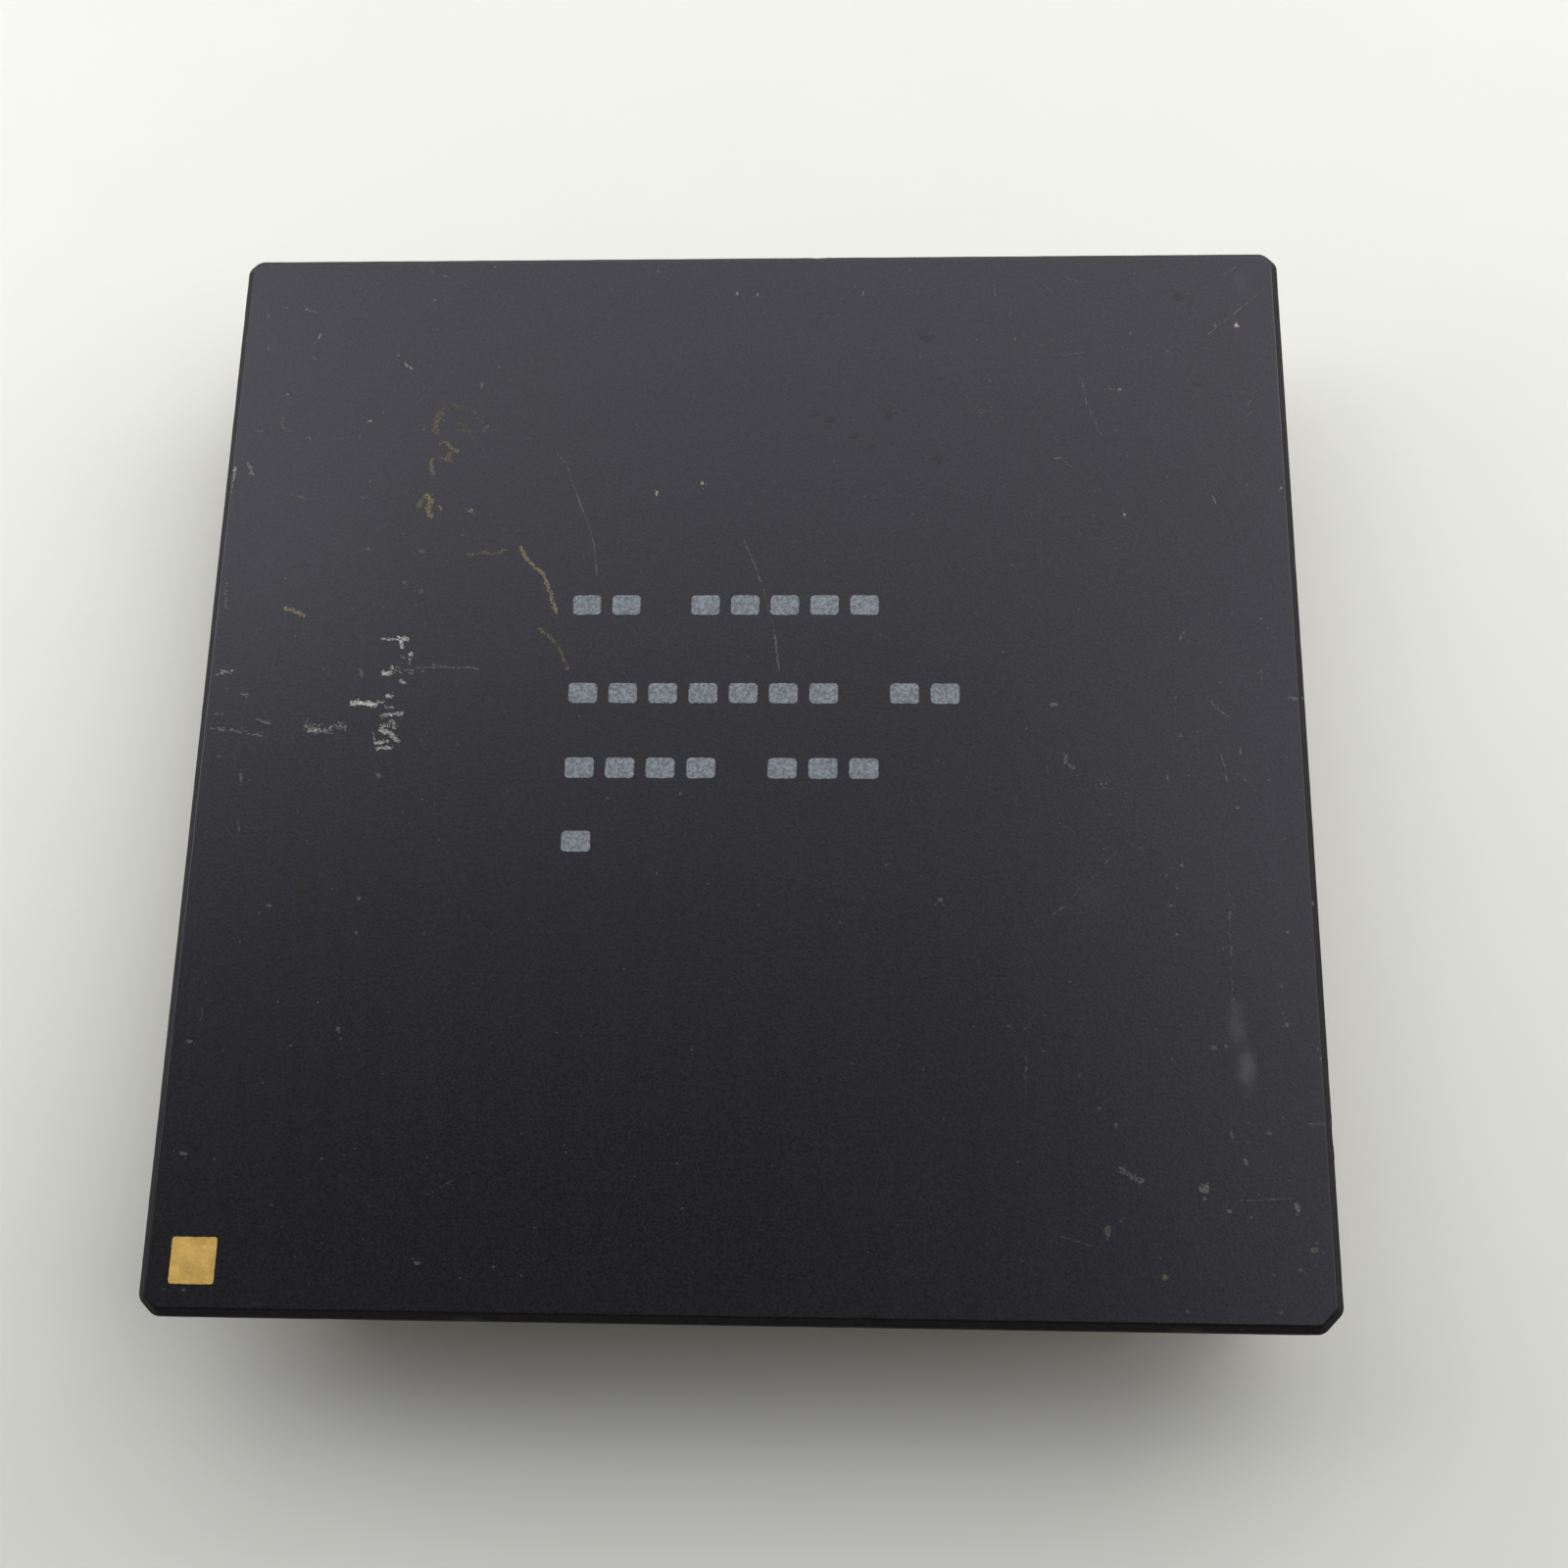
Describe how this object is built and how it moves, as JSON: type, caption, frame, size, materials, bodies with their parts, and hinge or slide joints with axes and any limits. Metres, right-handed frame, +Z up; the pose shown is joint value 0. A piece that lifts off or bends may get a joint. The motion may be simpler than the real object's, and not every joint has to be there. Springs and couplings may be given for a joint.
{
  "type": "ceramic pin-grid-array processor",
  "caption": "Square black ceramic processor package with a gold index mark on top, rows of gold-plated pins below and a sealed lid over the die between them.",
  "frame": {"origin": "centre of the pin grid in the plane of the pin tips, on which the part stands", "axes": "+Z up through the marked top face; +X and +Y along the sides, with the index corner at -X and -Y"},
  "size_m": [0.0446, 0.0446, 0.007],
  "materials": {
    "ceramic": "satin dark alumina, as fired",
    "gold_film": "matt gold plating on printed metal",
    "gold_pin": "gold plating on drawn wire",
    "braze": "gold plating on silver braze",
    "gold_lid": "satin gold plating on stamped sheet",
    "solder": "gold-tin solder",
    "die_bond": "dull gold-silicon bond",
    "silicon": "polished silicon",
    "bond_wire": "drawn aluminium wire"
  },
  "bodies": {
    "root": {"ceramic_body": "ceramic", "index_mark": "gold_film", "pin_pads": "gold_film", "pin_brazes": "braze", "contact_pins": "gold_pin", "standoff_pins": "gold_pin", "seal_ring": "gold_film", "lid_solder": "solder", "lid": "gold_lid", "die_pad": "gold_film", "die_attach": "die_bond", "die": "silicon", "inner_bond_fingers": "gold_film", "outer_bond_fingers": "gold_film", "inner_bond_wires": "bond_wire", "outer_bond_wires": "bond_wire"}
  },
  "joints": []
}
